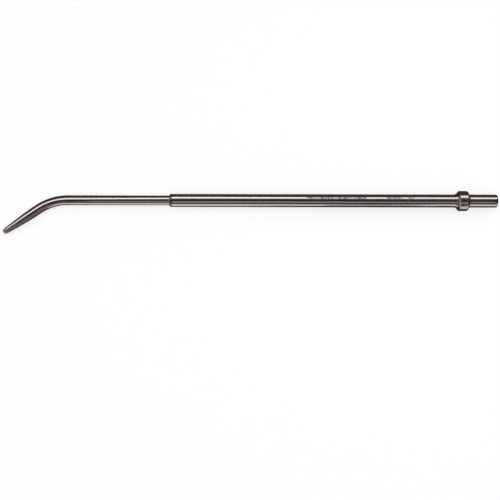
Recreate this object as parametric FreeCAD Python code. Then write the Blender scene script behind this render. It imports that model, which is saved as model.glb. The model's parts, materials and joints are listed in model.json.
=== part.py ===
# Oral surgery aspirator: a reusable suction tube of polished stainless steel.
# A slim tube, swaged down to a rounded nozzle and bent near its end, is brazed into a wider
# handle tube. A flanged collar near the handle's rear end stops the suction hose that is pushed
# over the bare stub behind it. The bore is open from the nozzle's mouth to the rear end.
#
# The pieces are drawn on the handle's axis, with the rear end at x = 0, the nozzle towards -X
# and the bend towards -Y. The finished instrument is then laid on the surface z = 0, as it
# comes to rest there, with the middle of its outline over the origin. Sizes are millimetres.

import FreeCAD, Part
import math
import os
from FreeCAD import Placement, Rotation, Vector

# Slim tube
tip_od = 4.76             # 3/16 inch stock
tip_wall = 0.51
tip_seat = 16.0           # depth that is let into the handle tube, up to its ledge
tip_reach = 50.0          # straight run from the handle's lip to the bend
bend_radius = 25.9        # of the tube's centre line
bend_angle = 33.7         # degrees
bend_tail = 1.2           # full-width run between the bend and the cone's rounded start

# Nozzle, swaged from the same tube: a long cone, then a short rounded nose
cone_length = 12.8
cone_ease = 5.0           # how far the rounding reaches to each side of the cone's start
neck_od = 2.94            # where the cone meets the nose
neck_wall = 0.77          # the wall thickens as the tube is drawn in
nose_length = 1.6
nose_ease = 0.7           # how far the rounding reaches to each side of the neck
mouth_wall = 0.35
mouth_land = 1.3          # parallel bore behind the mouth
rim_round = 0.3           # outer edge of the mouth
mouth_chamfer = 0.05      # inner edge of the mouth

# Handle tube, counterbored in front to seat the slim tube against a ledge
handle_length = 159.9
braze_gap = 0.025         # radial gap that the brazing metal fills, at each brazed seat
seat_wall = 0.77          # round the slim tube: makes a 1/4 inch tube
seat_ledge = 0.155        # leaves a bore of 4.5 behind the seat
lip_round = 0.7           # front edge, rounded down onto the slim tube
rear_round = 0.5          # rear edge, which the hose is pushed over
bore_chamfer = 0.15       # inner edge at the rear end of each of the two tubes
well_depth = 0.2          # groove under the collar's rear end, for the brazing metal
well_length = 2.0

# Stop collar, turned with a thin coned hub on its front side
stub_length = 13.9        # bare handle tube behind the collar
flange_length = 5.3
flange_height = 1.7       # from the collar's bore to its rim
flange_chamfer = 0.6      # front edge
flange_back_round = 1.3   # rear edge
hub_length = 1.3
hub_wall = 0.42           # where the hub meets the flange
hub_edge = 0.12           # at the hub's front end

# Worked out from the sizes above
tip_radius = tip_od / 2
tip_bore_radius = tip_radius - tip_wall
neck_radius = neck_od / 2
nozzle_bore_radius = neck_radius - neck_wall
mouth_radius = nozzle_bore_radius + mouth_wall
cone_slope = math.atan2(tip_radius - neck_radius, cone_length)
nose_slope = math.atan2(neck_radius - mouth_radius, nose_length)
seat_radius = tip_radius + braze_gap
handle_radius = seat_radius + seat_wall
handle_bore_radius = seat_radius - seat_ledge
collar_bore_radius = handle_radius + braze_gap
flange_radius = collar_bore_radius + flange_height

bend_start = Vector(-handle_length - tip_reach, 0, 0)
bend_centre = bend_start + Vector(0, -bend_radius, 0)
flange_back_x = -stub_length
flange_front_x = flange_back_x - flange_length
hub_front_x = flange_front_x - hub_length
seat_end_x = -handle_length + tip_seat
cone_start = bend_tail + cone_ease
nose_start = cone_start + cone_length
nozzle_length = nose_start + nose_length


def rounded_profile(corners):
    """A closed face in the XY plane. Each corner is (x, y) or (x, y, radius of its rounding)."""
    points = [Vector(corner[0], corner[1], 0) for corner in corners]
    radii = [corner[2] if len(corner) > 2 else 0 for corner in corners]
    arcs = []
    for i, point in enumerate(points):
        back = (points[i - 1] - point).normalize()
        ahead = (points[(i + 1) % len(points)] - point).normalize()
        half_angle = back.getAngle(ahead) / 2
        setback = radii[i] / math.tan(half_angle)
        inward = (back + ahead).normalize()
        middle = point + inward * (radii[i] / math.sin(half_angle) - radii[i])
        arcs.append((point + back * setback, middle, point + ahead * setback))
    edges = []
    for i, (arc_start, arc_middle, arc_end) in enumerate(arcs):
        if radii[i]:
            edges.append(Part.Arc(arc_start, arc_middle, arc_end).toShape())
        edges.append(Part.LineSegment(arc_end, arcs[(i + 1) % len(arcs)][0]).toShape())
    return Part.Face(Part.Wire(edges))


def turned(corners):
    """A solid of revolution about the X axis, from a profile of (distance along, radius)."""
    return rounded_profile(corners).revolve(Vector(0, 0, 0), Vector(1, 0, 0), 360)


def tube_section(centre, outer_radius, inner_radius):
    """The ring that a cut square to the X axis shows at that point of a tube."""
    rings = [Part.Wire(Part.makeCircle(radius, centre, Vector(1, 0, 0)))
             for radius in (outer_radius, inner_radius)]
    return Part.Face(rings)


def along_nozzle():
    """Puts a shape drawn forwards along +X on the nozzle's axis, from the end of the bend."""
    turn = Placement(bend_centre, Rotation(Vector(0, 0, 1), bend_angle))
    start = turn.multVec(bend_start - bend_centre)
    return Placement(start, Rotation(Vector(0, 0, 1), 180 + bend_angle))


def straight_run():
    """Slim tube from its square end inside the handle to the start of the bend."""
    return turned([
        (seat_end_x - bore_chamfer, tip_bore_radius),
        (seat_end_x, tip_bore_radius + bore_chamfer),
        (seat_end_x, tip_radius),
        (bend_start.x, tip_radius),
        (bend_start.x, tip_bore_radius),
    ])


def bend():
    """Slim tube round the bend, at its full width."""
    section = tube_section(bend_start, tip_radius, tip_bore_radius)
    return section.revolve(bend_centre, Vector(0, 0, 1), bend_angle)


def nozzle():
    """Slim tube in front of the bend, swaged to a cone, with a rounded nose at its mouth."""
    shape = turned([
        (0, tip_bore_radius),
        (0, tip_radius),
        (cone_start, tip_radius, cone_ease / math.tan(cone_slope / 2)),
        (nose_start, neck_radius, nose_ease / math.tan((nose_slope - cone_slope) / 2)),
        (nozzle_length, mouth_radius, rim_round),
        (nozzle_length, nozzle_bore_radius + mouth_chamfer),
        (nozzle_length - mouth_chamfer, nozzle_bore_radius),
        (nozzle_length - mouth_land, nozzle_bore_radius),
        (cone_start, tip_bore_radius),
    ])
    return shape.transformed(along_nozzle().toMatrix(), True)


def tip_tube():
    return straight_run().fuse([bend(), nozzle()]).removeSplitter()


def handle_tube():
    well_radius = handle_radius - well_depth
    well_front_x = flange_back_x - well_length
    return turned([
        (-bore_chamfer, handle_bore_radius),
        (0, handle_bore_radius + bore_chamfer),
        (0, handle_radius, rear_round),
        (flange_back_x, handle_radius),
        (flange_back_x, well_radius),
        (well_front_x, well_radius),
        (well_front_x, handle_radius),
        (-handle_length, handle_radius, lip_round),
        (-handle_length, seat_radius),
        (seat_end_x, seat_radius),
        (seat_end_x, handle_bore_radius),
    ])


def stop_collar():
    return turned([
        (flange_back_x, collar_bore_radius),
        (flange_back_x, flange_radius, flange_back_round),
        (flange_front_x + flange_chamfer, flange_radius),
        (flange_front_x, flange_radius - flange_chamfer),
        (flange_front_x, collar_bore_radius + hub_wall),
        (hub_front_x, collar_bore_radius + hub_edge),
        (hub_front_x, collar_bore_radius),
    ])


def lying_on_surface(shapes):
    """The placement that lays the instrument on z = 0, where it rests on three points.

    The rim of the collar and the lip of the handle touch first, so the axis leans forwards.
    It then rolls about that axis until the slim tube touches, behind its cone or at its neck.
    """
    collar_foot = Vector(flange_front_x + flange_chamfer, 0, -flange_radius)
    lip_foot = Vector(-handle_length + lip_round, 0, -handle_radius)
    lean = math.atan2(lip_foot.z - collar_foot.z, collar_foot.x - lip_foot.x)

    rolls = []
    for distance, radius in ((bend_tail, tip_radius), (nose_start - nose_ease, neck_radius)):
        point = along_nozzle().multVec(Vector(distance, 0, 0))
        axis_height = flange_radius - (collar_foot.x - point.x) * math.tan(lean)
        rolls.append(math.asin((axis_height - radius) / -point.y))
    roll = min(rolls)

    turn = Rotation(Vector(0, 1, 0), -math.degrees(lean))
    turn = turn.multiply(Rotation(Vector(1, 0, 0), math.degrees(roll)))
    turned_only = Placement(Vector(0, 0, 0), turn)
    whole = Part.makeCompound(shapes).transformed(turned_only.toMatrix(), True)
    box = whole.optimalBoundingBox(False)
    return Placement(Vector(-box.Center.x, -box.Center.y, -box.ZMin), turn)


os.makedirs("parts", exist_ok=True)
pieces = {
    "tip_tube": tip_tube(),
    "handle_tube": handle_tube(),
    "stop_collar": stop_collar(),
}
rest = lying_on_surface(list(pieces.values()))
for name, shape in pieces.items():
    laid = shape.transformed(rest.toMatrix(), True)
    laid.exportStep(f"parts/{name}.step")
    box = laid.optimalBoundingBox(False)
    print(f"{name}: valid {laid.isValid()}, {len(laid.Solids)} solid, {laid.Volume:.1f} mm3, "
          f"x {box.XMin:.2f} to {box.XMax:.2f}, y {box.YMin:.2f} to {box.YMax:.2f}, "
          f"z {box.ZMin:.3f} to {box.ZMax:.2f}")
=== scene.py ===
import json
import math
import bpy
from mathutils import Matrix, Vector


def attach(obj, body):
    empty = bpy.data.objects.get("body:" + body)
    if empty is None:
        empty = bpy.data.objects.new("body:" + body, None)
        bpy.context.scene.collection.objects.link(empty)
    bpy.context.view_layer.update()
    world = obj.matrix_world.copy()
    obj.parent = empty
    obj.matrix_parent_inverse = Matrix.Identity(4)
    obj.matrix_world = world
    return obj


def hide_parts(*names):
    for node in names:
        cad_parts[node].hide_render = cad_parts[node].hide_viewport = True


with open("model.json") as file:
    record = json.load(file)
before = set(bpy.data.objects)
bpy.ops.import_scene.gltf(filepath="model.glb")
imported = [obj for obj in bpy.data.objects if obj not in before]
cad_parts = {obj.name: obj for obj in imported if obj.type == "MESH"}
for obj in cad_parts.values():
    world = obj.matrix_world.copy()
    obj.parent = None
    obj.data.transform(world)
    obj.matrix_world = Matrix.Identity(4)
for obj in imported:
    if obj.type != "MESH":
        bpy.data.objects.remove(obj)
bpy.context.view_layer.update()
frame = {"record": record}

mm = 0.001
scene = bpy.context.scene
mounts = {mount["name"]: mount for mount in frame["record"]["mounts"]}


def addNode(tree, kind, inputs=None, **settings):
    node = tree.nodes.new(kind)
    for name, value in settings.items():
        setattr(node, name, value)
    for name, value in (inputs or {}).items():
        if isinstance(value, bpy.types.NodeSocket):
            tree.links.new(value, node.inputs[name])
        else:
            node.inputs[name].default_value = value
    return node


def calculate(tree, operation, *values):
    node = addNode(tree, "ShaderNodeMath", dict(enumerate(values)), operation=operation)
    return node.outputs[0]


def newTree(name, sockets):
    tree = bpy.data.node_groups.new(name, "GeometryNodeTree")
    tree.interface.new_socket("Geometry", in_out="OUTPUT", socket_type="NodeSocketGeometry")
    for title, kind in sockets.items():
        tree.interface.new_socket(title, in_out="INPUT", socket_type="NodeSocket" + kind)
    return tree, tree.nodes.new("NodeGroupInput").outputs, tree.nodes.new("NodeGroupOutput")


mesh = {"around": 128, "cornerSteps": 8, "longestStep": 0.9, "mergeDistance": 0.0005, "creaseAngle": 35}


# One tree turns every steel piece: it rounds the profile's corners, spins it about x and bends it.
def turnedTree():
    tree, given, result = newTree("turnedPiece", {
        "Profile": "Geometry", "Corner Steps": "Int", "Longest Step": "Float", "Around": "Int",
        "Bend Start": "Float", "Bend Radius": "Float", "Bend Angle": "Float", "Finish": "Material",
    })
    line = addNode(tree, "GeometryNodeMeshToCurve", {"Mesh": given["Profile"]}).outputs[0]
    rounding = addNode(tree, "GeometryNodeInputNamedAttribute", {"Name": "rounding"}).outputs[0]
    rounded = addNode(tree, "GeometryNodeFilletCurve", {
        "Curve": line, "Count": given["Corner Steps"], "Radius": rounding, "Limit Radius": False,
    }, mode="POLY").outputs[0]

    # cuts in each straight run, so that no face is much longer than the longest step
    position = addNode(tree, "GeometryNodeInputPosition").outputs[0]
    following = addNode(tree, "GeometryNodeOffsetPointInCurve", {"Offset": 1}).outputs["Point Index"]
    ahead = addNode(tree, "GeometryNodeFieldAtIndex", {"Value": position, "Index": following},
                    data_type="FLOAT_VECTOR").outputs[0]
    run = addNode(tree, "ShaderNodeVectorMath", {0: position, 1: ahead}, operation="DISTANCE")
    cuts = calculate(tree, "DIVIDE", run.outputs["Value"], given["Longest Step"])
    cuts = calculate(tree, "FLOOR", cuts)
    profile = addNode(tree, "GeometryNodeSubdivideCurve", {"Curve": rounded, "Cuts": cuts}).outputs[0]
    size = addNode(tree, "GeometryNodeAttributeDomainSize", {"Geometry": profile}, component="CURVE")

    # a grid whose columns follow the profile and whose rows go round the axis
    count = size.outputs["Point Count"]
    rows = calculate(tree, "ADD", given["Around"], 1)
    grid = addNode(tree, "GeometryNodeMeshGrid", {
        "Vertices X": calculate(tree, "ADD", count, 1), "Vertices Y": rows,
    }).outputs["Mesh"]
    index = addNode(tree, "GeometryNodeInputIndex").outputs[0]
    column = calculate(tree, "DIVIDE", calculate(tree, "ADD", index, 0.5), rows)
    column = calculate(tree, "FLOOR", column)
    row = calculate(tree, "SUBTRACT", index, calculate(tree, "MULTIPLY", column, rows))
    corner = addNode(tree, "GeometryNodeSampleIndex", {
        "Geometry": profile, "Value": position, "Index": calculate(tree, "MODULO", column, count),
    }, data_type="FLOAT_VECTOR").outputs[0]
    corner = addNode(tree, "ShaderNodeSeparateXYZ", {0: corner}).outputs
    turn = calculate(tree, "MULTIPLY", calculate(tree, "DIVIDE", row, given["Around"]), math.tau)
    straight = addNode(tree, "ShaderNodeCombineXYZ", {
        "X": corner["X"],
        "Y": calculate(tree, "MULTIPLY", corner["Y"], calculate(tree, "COSINE", turn)),
        "Z": calculate(tree, "MULTIPLY", corner["Y"], calculate(tree, "SINE", turn)),
    }).outputs[0]
    spun = addNode(tree, "GeometryNodeSetPosition", {"Geometry": grid, "Position": straight}).outputs[0]
    closed = addNode(tree, "GeometryNodeMergeByDistance", {
        "Geometry": spun, "Distance": mesh["mergeDistance"] * mm,
    }).outputs[0]
    kept = addNode(tree, "GeometryNodeStoreNamedAttribute", {
        "Geometry": closed, "Name": "drawn", "Value": position,
    }, data_type="FLOAT_VECTOR").outputs[0]

    # past the start of the bend, each ring turns about the bend's centre
    place = addNode(tree, "ShaderNodeSeparateXYZ", {0: position}).outputs
    forward = calculate(tree, "SUBTRACT", given["Bend Start"], place["X"])
    angle = calculate(tree, "DIVIDE", forward, given["Bend Radius"])
    angle = calculate(tree, "MINIMUM", calculate(tree, "MAXIMUM", angle, 0.0), given["Bend Angle"])
    arc = calculate(tree, "MULTIPLY", angle, given["Bend Radius"])
    drawnBack = addNode(tree, "ShaderNodeCombineXYZ", {
        "X": calculate(tree, "ADD", place["X"], arc), "Y": place["Y"], "Z": place["Z"],
    }).outputs[0]
    centre = addNode(tree, "ShaderNodeCombineXYZ", {
        "X": given["Bend Start"], "Y": calculate(tree, "MULTIPLY", given["Bend Radius"], -1.0),
    }).outputs[0]
    bent = addNode(tree, "ShaderNodeVectorRotate", {
        "Vector": drawnBack, "Center": centre, "Angle": angle,
    }, rotation_type="Z_AXIS").outputs[0]
    shaped = addNode(tree, "GeometryNodeSetPosition", {"Geometry": kept, "Position": bent}).outputs[0]

    smooth = addNode(tree, "GeometryNodeSetShadeSmooth", {
        "Geometry": shaped, "Shade Smooth": True,
    }).outputs[0]
    edgeAngle = addNode(tree, "GeometryNodeInputMeshEdgeAngle").outputs["Unsigned Angle"]
    sharp = calculate(tree, "GREATER_THAN", edgeAngle, math.radians(mesh["creaseAngle"]))
    creased = addNode(tree, "GeometryNodeSetShadeSmooth", {
        "Geometry": smooth, "Selection": sharp, "Shade Smooth": False,
    }, domain="EDGE").outputs[0]
    real = addNode(tree, "GeometryNodeRealizeInstances", {"Geometry": creased}).outputs[0]
    finished = addNode(tree, "GeometryNodeSetMaterial", {"Geometry": real, "Material": given["Finish"]})
    tree.links.new(finished.outputs[0], result.inputs[0])
    return tree


# Sizes are millimetres, on the handle's axis: x = 0 at the rear end, the nozzle towards -x.
# Each outline is a list of corners: (x, distance from the axis, radius of its rounding).
# The slim tube is given as if it were still straight, and the bend is put in afterwards.
tipTube = {
    "outer": 2.38, "bore": 1.87, "seatEnd": -143.9, "chamfer": 0.15,
    "bendStart": -209.9, "bendRadius": 25.9, "bendAngle": math.radians(33.7),
    "tail": 1.2, "coneEase": 5.0, "cone": 12.8, "neck": 1.47, "noseEase": 0.7,
    "nose": 1.6, "mouth": 1.05, "rim": 0.3, "mouthBore": 0.7, "mouthChamfer": 0.05, "land": 1.3,
}


def tipTubeOutline():
    t = tipTube
    bendEnd = t["bendStart"] - t["bendRadius"] * t["bendAngle"]
    coneStart = bendEnd - t["tail"] - t["coneEase"]
    noseStart = coneStart - t["cone"]
    mouth = noseStart - t["nose"]
    coneSlope = math.atan2(t["outer"] - t["neck"], t["cone"])
    noseSlope = math.atan2(t["neck"] - t["mouth"], t["nose"])
    return [
        (t["seatEnd"] - t["chamfer"], t["bore"]),
        (t["seatEnd"], t["bore"] + t["chamfer"]),
        (t["seatEnd"], t["outer"]),
        (coneStart, t["outer"], t["coneEase"] / math.tan(coneSlope / 2)),
        (noseStart, t["neck"], t["noseEase"] / math.tan((noseSlope - coneSlope) / 2)),
        (mouth, t["mouth"], t["rim"]),
        (mouth, t["mouthBore"] + t["mouthChamfer"]),
        (mouth + t["mouthChamfer"], t["mouthBore"]),
        (mouth + t["land"], t["mouthBore"]),
        (coneStart, t["bore"]),
    ]


handleTube = {
    "outer": 3.175, "bore": 2.25, "seat": 2.405, "seatEnd": -143.9, "front": -159.9,
    "lip": 0.7, "rear": 0.5, "chamfer": 0.15,
}


def handleTubeOutline():
    h = handleTube
    return [
        (-h["chamfer"], h["bore"]),
        (0, h["bore"] + h["chamfer"]),
        (0, h["outer"], h["rear"]),
        (h["front"], h["outer"], h["lip"]),
        (h["front"], h["seat"]),
        (h["seatEnd"], h["seat"]),
        (h["seatEnd"], h["bore"]),
    ]


stopCollar = {
    "bore": 3.2, "outer": 4.9, "back": -13.9, "front": -19.2, "backRound": 1.3, "chamfer": 0.6,
    "hubLength": 1.3, "hubWall": 0.42, "hubEdge": 0.12,
}


def stopCollarOutline():
    c = stopCollar
    return [
        (c["back"], c["bore"]),
        (c["back"], c["outer"], c["backRound"]),
        (c["front"] + c["chamfer"], c["outer"]),
        (c["front"], c["outer"] - c["chamfer"]),
        (c["front"], c["bore"] + c["hubWall"]),
        (c["front"] - c["hubLength"], c["bore"] + c["hubEdge"]),
        (c["front"] - c["hubLength"], c["bore"]),
    ]


# The fillet of brazing metal behind the collar
brazing = {"length": 0.5, "height": 0.34, "hollow": 0.12, "hollowRound": 0.3, "edge": 0.01, "sunk": 0.03}


def brazingOutline():
    b, back, surface = brazing, stopCollar["back"], handleTube["outer"]
    return [
        (back - b["sunk"], surface - b["sunk"]),
        (back - b["sunk"], surface + b["height"]),
        (back + b["hollow"], surface + b["hollow"], b["hollowRound"]),
        (back + b["length"], surface + b["edge"]),
        (back + b["length"], surface - b["sunk"]),
    ]


# The handle's own frame, from the mounts that the model states on it.
def handleFrame():
    stub = mounts["hose_stub"]
    along = Vector(stub["axis"]).normalized()
    up = Vector(mounts["nozzle_mouth"]["axis"]).cross(along).normalized()
    across = up.cross(along)
    stubMiddle = (stopCollar["back"] - handleTube["rear"]) / 2 * mm
    rearEnd = Vector(stub["pos_m"]) - along * stubMiddle
    axes = Matrix((along, across, up)).transposed()
    return Matrix.Translation(rearEnd) @ axes.to_4x4()


def profileMesh(name, outline):
    data = bpy.data.meshes.new(name)
    points = [(corner[0] * mm, corner[1] * mm, 0) for corner in outline]
    roundings = [corner[2] * mm if len(corner) > 2 else 0 for corner in outline]
    edges = [(i, (i + 1) % len(outline)) for i in range(len(outline))]
    data.from_pydata(points, edges, [])
    data.attributes.new("rounding", "FLOAT", "POINT").data.foreach_set("value", roundings)
    return data


def makePiece(name, outline, tree, values, placement):
    piece = bpy.data.objects.new(name, profileMesh(name, outline))
    scene.collection.objects.link(piece)
    modifier = piece.modifiers.new(name, "NODES")
    modifier.node_group = tree
    identifiers = {s.name: s.identifier for s in tree.interface.items_tree if s.in_out == "INPUT"}
    for title, value in values.items():
        modifier[identifiers[title]] = value
    bpy.context.view_layer.update()
    depsgraph = bpy.context.evaluated_depsgraph_get()
    made = bpy.data.meshes.new_from_object(piece.evaluated_get(depsgraph), depsgraph=depsgraph)
    piece.modifiers.clear()
    piece.data = made
    made.name = name
    made.transform(placement)
    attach(piece, "root")
    print(f"{name}: {len(made.polygons)} faces")
    return piece


# The steel's own texture. A scale is in waves per metre: along the tube, then across it.
grain = {
    "streaks": {"scale": (60, 2600, 2600), "detail": 3.0},     # left by drawing, along the tube
    "rings": {"scale": (9000, 160, 160), "detail": 2.0},       # left by polishing, round it
    "haze": {"scale": (260, 260, 260), "detail": 4.0},         # left by handling
    "hazeRoughness": 0.06, "bumpStrength": 0.12, "bumpDepth": 0.02,
}

# Each steel finish. A place is (x where it starts, x where it is full, how it differs):
# "rougher" gives by how much the steel is duller there, and the list after it a darker colour painted there
# as shade, standing in for the dark reflection on a rounded edge.
finishes = {
    "slimTube": {
        "base": (0.60, 0.555, 0.545), "roughness": 0.13, "streaks": 0.05, "rings": 0.03, "mottle": 0.08,
        "rougher": [(-224.0, -233.0, 0.05)],     # the swaged nozzle
        "paintedShadeBands": [],
    },
    "handle": {
        "base": (0.60, 0.555, 0.545), "roughness": 0.12, "streaks": 0.05, "rings": 0.03, "mottle": 0.06,
        "rougher": [(-158.3, -158.9, 0.2)],                    # the lip
        # painted shade: the lip's rounded front edge is darkened in colour, standing in for the dark
        # reflection it shows
        "paintedShadeBands": [(-158.2, -158.8, (0.19, 0.16, 0.15))],
        "etching": {
            "groups": [(-93.2, -64.0), (-54.0, -46.4), (-43.4, -40.6)], "turn": 26.0, "pitch": 0.75,
            "heights": (0.7, 1.5), "widths": (0.35, 0.8), "colour": (0.10, 0.085, 0.085), "rougher": 0.3,
        },
    },
    "collar": {
        "base": (0.57, 0.525, 0.515), "roughness": 0.15, "streaks": 0.03, "rings": 0.10, "mottle": 0.14,
        "rougher": [(-18.3, -18.8, 0.20), (-19.6, -20.2, -0.20)],     # the flange's front edge, then the hub
        # painted shade: the flange's front edge is darkened in colour, standing in for its dark reflection;
        # the second span brings the colour back nearly to the steel's over the hub
        "paintedShadeBands": [(-18.7, -19.2, (0.36, 0.325, 0.325)), (-19.5, -20.1, (0.55, 0.51, 0.50))],
    },
    "brazing": {
        "base": (0.36, 0.32, 0.30), "roughness": 0.34, "streaks": 0.0, "rings": 0.06, "mottle": 0.25,
        "rougher": [], "paintedShadeBands": [],
    },
}


# A plain code of short etched bars, in groups along the handle.
def etchedMarks(tree, place, etching):
    turn = calculate(tree, "ARCTAN2", place["Y"], place["Z"])
    offset = calculate(tree, "SUBTRACT", turn, math.radians(etching["turn"]))
    offset = calculate(tree, "ABSOLUTE", offset)
    counted = calculate(tree, "DIVIDE", place["X"], etching["pitch"] * mm)
    bar = calculate(tree, "FLOOR", counted)
    chance = addNode(tree, "ShaderNodeTexWhiteNoise", {"W": bar}, noise_dimensions="1D").outputs["Color"]
    chance = addNode(tree, "ShaderNodeSeparateColor", {0: chance}).outputs
    shortest, tallest = (height / 2 / handleTube["outer"] for height in etching["heights"])
    reach = calculate(tree, "MULTIPLY_ADD", chance["Red"], tallest - shortest, shortest)
    narrowest, widest = etching["widths"]
    width = calculate(tree, "MULTIPLY_ADD", chance["Green"], widest - narrowest, narrowest)
    inBar = calculate(tree, "LESS_THAN", calculate(tree, "FRACT", counted), width)
    inRow = calculate(tree, "LESS_THAN", offset, reach)
    inGroup = 0.0
    for first, last in etching["groups"]:
        middle, half = (first + last) / 2 * mm, (last - first) / 2 * mm
        inGroup = calculate(tree, "ADD", inGroup, calculate(tree, "COMPARE", place["X"], middle, half))
    return calculate(tree, "MULTIPLY", inGroup, calculate(tree, "MULTIPLY", inBar, inRow))


def steel(name, look):
    material = bpy.data.materials.new(name)
    material.use_nodes = True
    tree = material.node_tree
    shader = tree.nodes["Principled BSDF"]
    shader.inputs["Metallic"].default_value = 1.0
    drawn = addNode(tree, "ShaderNodeAttribute", attribute_name="drawn").outputs["Vector"]
    place = addNode(tree, "ShaderNodeSeparateXYZ", {0: drawn}).outputs

    def noise(kind):
        scale, detail = grain[kind]["scale"], grain[kind]["detail"]
        mapped = addNode(tree, "ShaderNodeMapping", {"Vector": drawn, "Scale": scale}).outputs[0]
        waves = addNode(tree, "ShaderNodeTexNoise", {"Vector": mapped, "Scale": 1.0, "Detail": detail})
        return waves.outputs["Fac"]

    def shareAt(first, last):
        ramp = addNode(tree, "ShaderNodeMapRange", {
            "Value": place["X"], "From Min": first * mm, "From Max": last * mm,
        }, interpolation_type="SMOOTHSTEP")
        return ramp.outputs[0]

    def blend(share, colour, other):
        mixed = addNode(tree, "ShaderNodeMix", {"Factor": share, "A": colour, "B": other}, data_type="RGBA")
        return mixed.outputs["Result"]

    streaks, rings, haze = noise("streaks"), noise("rings"), noise("haze")
    mottled = [c * (1 - look["mottle"]) for c in look["base"]]
    colour = blend(haze, (*mottled, 1), (*look["base"], 1))
    relief = calculate(tree, "ADD", calculate(tree, "MULTIPLY", streaks, look["streaks"]),
                       calculate(tree, "MULTIPLY", rings, look["rings"]))
    lowest = look["roughness"] - (look["streaks"] + look["rings"] + grain["hazeRoughness"]) / 2
    rough = calculate(tree, "ADD", calculate(tree, "ADD", relief, lowest),
                      calculate(tree, "MULTIPLY", haze, grain["hazeRoughness"]))
    for first, last, more in look["rougher"]:
        rough = calculate(tree, "ADD", rough, calculate(tree, "MULTIPLY", shareAt(first, last), more))
    # painted shade: spans of darker colour standing in for the dark reflections on rounded edges
    for first, last, shadeTone in look["paintedShadeBands"]:
        colour = blend(shareAt(first, last), colour, (*shadeTone, 1))

    if "etching" in look:
        etching = look["etching"]
        mark = etchedMarks(tree, place, etching)
        colour = blend(mark, colour, (*etching["colour"], 1))
        rough = calculate(tree, "ADD", rough, calculate(tree, "MULTIPLY", mark, etching["rougher"]))

    tree.links.new(colour, shader.inputs["Base Color"])
    tree.links.new(rough, shader.inputs["Roughness"])
    bump = addNode(tree, "ShaderNodeBump", {
        "Height": relief, "Strength": grain["bumpStrength"], "Distance": grain["bumpDepth"] * mm,
    }).outputs[0]
    tree.links.new(bump, shader.inputs["Normal"])
    return material


steels = {name: steel(name + "Steel", look) for name, look in finishes.items()}
turnedPiece = turnedTree()
handlePlace = handleFrame()


def steelPiece(name, outline, bendAngle=0.0):
    values = {
        "Corner Steps": mesh["cornerSteps"], "Longest Step": mesh["longestStep"] * mm,
        "Around": mesh["around"], "Bend Start": tipTube["bendStart"] * mm,
        "Bend Radius": tipTube["bendRadius"] * mm, "Bend Angle": bendAngle, "Finish": steels[name],
    }
    return makePiece(name, outline, turnedPiece, values, handlePlace)


slim = steelPiece("slimTube", tipTubeOutline(), tipTube["bendAngle"])
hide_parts("tip_tube")
handle = steelPiece("handle", handleTubeOutline())
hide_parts("handle_tube")
collar = steelPiece("collar", stopCollarOutline())
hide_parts("stop_collar")
steelPiece("brazing", brazingOutline())
print("steel pieces made")

# Camera straight above, as the photo looks at the instrument
camera = {"fromRearEnd": (-120.4, -24.215, 415.0), "focalPixels": 850.0, "imagePixels": 500, "roll": 0.17,
          "sensor": 36.0, "clipStart": 10.0}
rearEnd = handlePlace.translation / mm
axisY, axisHeight = rearEnd.y, rearEnd.z
cameraData = bpy.data.cameras.new("camera")
cameraData.sensor_width = camera["sensor"]
cameraData.lens = camera["sensor"] * camera["focalPixels"] / camera["imagePixels"]
cameraData.clip_start = camera["clipStart"] * mm
cameraObject = bpy.data.objects.new("camera", cameraData)
cameraObject.location = (rearEnd + Vector(camera["fromRearEnd"])) * mm
cameraObject.rotation_euler = (0, 0, math.radians(camera["roll"]))
scene.collection.objects.link(cameraObject)
scene.camera = cameraObject


# Everything of the stage is a mesh of corners in millimetres.
def stageMesh(name, corners, faces, material):
    data = bpy.data.meshes.new(name)
    data.from_pydata([Vector(corner) * mm for corner in corners], [], faces)
    data.materials.append(material)
    made = bpy.data.objects.new(name, data)
    scene.collection.objects.link(made)
    return made


# The floor is pale and keeps the shadow. The camera and the steel see it partly as plain white.
def paleFloor(colour, whiteShare):
    material = bpy.data.materials.new("paleFloor")
    material.use_nodes = True
    tree = material.node_tree
    tree.nodes.remove(tree.nodes["Principled BSDF"])
    rays = addNode(tree, "ShaderNodeLightPath").outputs
    seen = calculate(tree, "MAXIMUM", rays["Is Camera Ray"], rays["Is Glossy Ray"])
    seen = calculate(tree, "MAXIMUM", seen, rays["Is Transmission Ray"])
    sheet = addNode(tree, "ShaderNodeBsdfDiffuse", {"Color": (*colour, 1)}).outputs[0]
    white = addNode(tree, "ShaderNodeEmission", {"Color": (1, 1, 1, 1), "Strength": 1.0}).outputs[0]
    share = calculate(tree, "MULTIPLY", seen, whiteShare)
    mixed = addNode(tree, "ShaderNodeMixShader", {0: share, 1: sheet, 2: white}).outputs[0]
    tree.links.new(mixed, tree.nodes["Material Output"].inputs["Surface"])
    return material


# A round floor with a low wall of the same sheet at its far edge
floor = {"reach": 5000, "wall": 900, "sides": 96, "colour": (0.9, 0.9, 0.9), "whiteShare": 0.72}


def paleRoom():
    sides, reach = floor["sides"], floor["reach"]
    turns = [math.tau * i / sides for i in range(sides)]
    corners = [(reach * math.cos(turn), reach * math.sin(turn), height)
               for height in (0, floor["wall"]) for turn in turns]
    walls = [(i, sides + i, sides + (i + 1) % sides, (i + 1) % sides) for i in range(sides)]
    stageMesh("floor", corners, [range(sides), *walls], paleFloor(floor["colour"], floor["whiteShare"]))


paleRoom()

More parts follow.
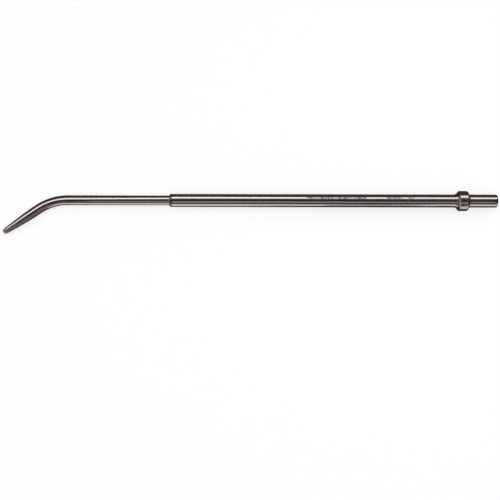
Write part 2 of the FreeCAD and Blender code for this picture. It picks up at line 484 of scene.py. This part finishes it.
# Lit panels and dark flags stand round the instrument like the walls of a long tunnel, and the
# steel's stripes are their reflections. Each is given by stations along it, (x, first angle, last
# angle), and a panel's stations end with its strength. Angles are from straight up, seen from the
# handle's axis, and positive on the side that the nozzle bends to.
panels = {
    "highPanel": {"distance": 600, "colour": (1.0, 1.0, 0.985), "stations": [
        (-850, -42, -12, 1.5), (-330, -42, -12, 1.5), (-250, -48, -16, 1.6), (-200, -52, -24, 1.65),
        (-157, -54, -29, 1.75), (-95, -60, -36, 1.85), (60, -60, -36, 1.8), (190, -61, -36, 1.55),
        (1500, -61, -36, 1.5)]},
    "lowPanel": {"distance": 3000, "colour": (1.0, 0.97, 0.89), "stations": [
        (-6000, 73, 90, 0.75), (-350, 72, 90, 0.86), (266, 72, 90, 0.86), (274, 70, 90, 0.36),
        (600, 67, 90, 0.36), (720, 65, 90, 0.85), (6000, 65, 90, 0.9)]},
}
flags = {
    "overhead": {"distance": 1000, "colour": (0.032, 0.024, 0.028), "stations": [
        (-900, -11, 3), (-470, -10, 5), (-430, 3, 22), (-333, 2, 22), (-243, -3, 21), (-147, -12, 18),
        (-136, -12, 18), (-130, -8, 15), (430, -8, 15)]},
    "overheadEdge": {"distance": 1000, "colour": (0.09, 0.07, 0.072), "stations": [
        (-430, -12, 3), (-333, -12, 3), (-243, -19, 0), (-147, -28, -8), (430, -28, -8)]},
    "lowSide": {"distance": 1000, "colour": (0.04, 0.03, 0.034), "stations": [
        (-430, 25, 90), (-364, 25, 90), (-318, 50, 72), (-140, 50, 71), (0, 49, 69), (200, 42, 65),
        (295, 40, 62), (430, 40, 62)]},
    "farSide": {"distance": 1000, "colour": (0.055, 0.041, 0.048), "stations": [
        (-5000, -90, -48), (-364, -90, -50), (-279, -90, -58), (-186, -90, -62), (430, -90, -63),
        (520, -90, -76), (2500, -90, -76)]},
}

# Small flags near the instrument, (x, y from the handle's axis): one on the floor and one over the
# nozzle lie flat, and two stand on the floor, beside the nozzle and behind the rear end.
flatFlags = {
    "floorFlag": {"height": 0.05, "colour": (0.055, 0.041, 0.048), "outline": [
        (2500, 500), (-2500, 500), (-2500, -200), (-123, -200), (-119, -31), (-111, -26), (-96, -16),
        (-88, -11), (-84, -10), (-42, -10.5), (-38, -13.5), (0, -15.5), (16, -23), (38, -26), (42, -52),
        (84, -52), (92, -30), (99, -32), (101, -48), (106, -48), (108, -32), (2500, -30)]},
    "nozzleTop": {"height": 60, "colour": (0.032, 0.024, 0.028), "outline": [
        (-128, -28), (-114.5, -22.5), (-98.5, -14), (-93.4, -12.6), (-88.9, -12), (-88.9, -28),
        (-99, -40), (-112, -50), (-128, -52)]},
}
standingFlags = {
    "nozzleFlag": {"from": (-118, -31), "to": (-95.9, -16), "height": 24, "colour": (0.25, 0.215, 0.22)},
    "rearFlag": {"from": (134, -26), "to": (134, 26), "height": 60, "colour": (0.055, 0.041, 0.048)},
}


def plainMaterial(name, colour):
    material = bpy.data.materials.new(name)
    material.use_nodes = True
    shader = material.node_tree.nodes["Principled BSDF"]
    shader.inputs["Base Color"].default_value = (*colour, 1)
    shader.inputs["Roughness"].default_value = 0.9     # matt cloth
    shader.inputs["Specular IOR Level"].default_value = 0.0
    return material


def litMaterial(name, colour):
    material = bpy.data.materials.new(name)
    material.use_nodes = True
    tree = material.node_tree
    tree.nodes.remove(tree.nodes["Principled BSDF"])
    glow = addNode(tree, "ShaderNodeAttribute", attribute_name="glow").outputs["Fac"]
    light = addNode(tree, "ShaderNodeEmission", {"Color": (*colour, 1), "Strength": glow}).outputs[0]
    tree.links.new(light, tree.nodes["Material Output"].inputs["Surface"])
    return material


def tunnelWall(name, wall, material):
    distance = wall["distance"]
    corners, glow = [], []
    for x, first, last, *strength in wall["stations"]:
        for angle in (math.radians(first), math.radians(last)):
            corners.append((x, axisY - math.sin(angle) * distance, axisHeight + math.cos(angle) * distance))
            glow += strength
    faces = [(i, i + 1, i + 3, i + 2) for i in range(0, len(corners) - 2, 2)]
    made = stageMesh(name, corners, faces, material)
    if glow:
        made.data.attributes.new("glow", "FLOAT", "POINT").data.foreach_set("value", glow)
    made.visible_camera = False
    return made


def flatCard(name, card, material):
    corners = [(x, axisY + y, card["height"]) for x, y in card["outline"]]
    return stageMesh(name, corners, [range(len(corners))], material)


def standingCard(name, card, material):
    (x0, y0), (x1, y1), top = card["from"], card["to"], card["height"]
    corners = [(x0, axisY + y0, 0), (x1, axisY + y1, 0), (x1, axisY + y1, top), (x0, axisY + y0, top)]
    return stageMesh(name, corners, [range(len(corners))], material)


def reflectedOnly(flag):
    flag.visible_camera = False
    flag.visible_diffuse = False
    flag.visible_shadow = False
    flag.visible_transmission = False
    flag.visible_volume_scatter = False


for name, panel in panels.items():
    tunnelWall(name, panel, litMaterial(name, panel["colour"]))
for group, makeFlag in ((flags, tunnelWall), (flatFlags, flatCard), (standingFlags, standingCard)):
    for name, flag in group.items():
        reflectedOnly(makeFlag(name, flag, plainMaterial(name, flag["colour"])))
print("floor, panels and flags set")

overheadLight = {"energy": 2.0, "spread": 80}
overheadData = bpy.data.lights.new("overheadLight", "SUN")
overheadData.energy = overheadLight["energy"]
overheadData.angle = math.radians(overheadLight["spread"])
overhead = bpy.data.objects.new("overheadLight", overheadData)
overhead.location = (0, 0, 1)
overhead.visible_glossy = False
scene.collection.objects.link(overhead)

roomColour = (0.335, 0.288, 0.294)
world = bpy.data.worlds.new("room")
world.use_nodes = True
world.node_tree.nodes["Background"].inputs["Color"].default_value = (*roomColour, 1)
scene.world = world
scene.view_settings.view_transform = "Standard"
print("camera and lamps set")
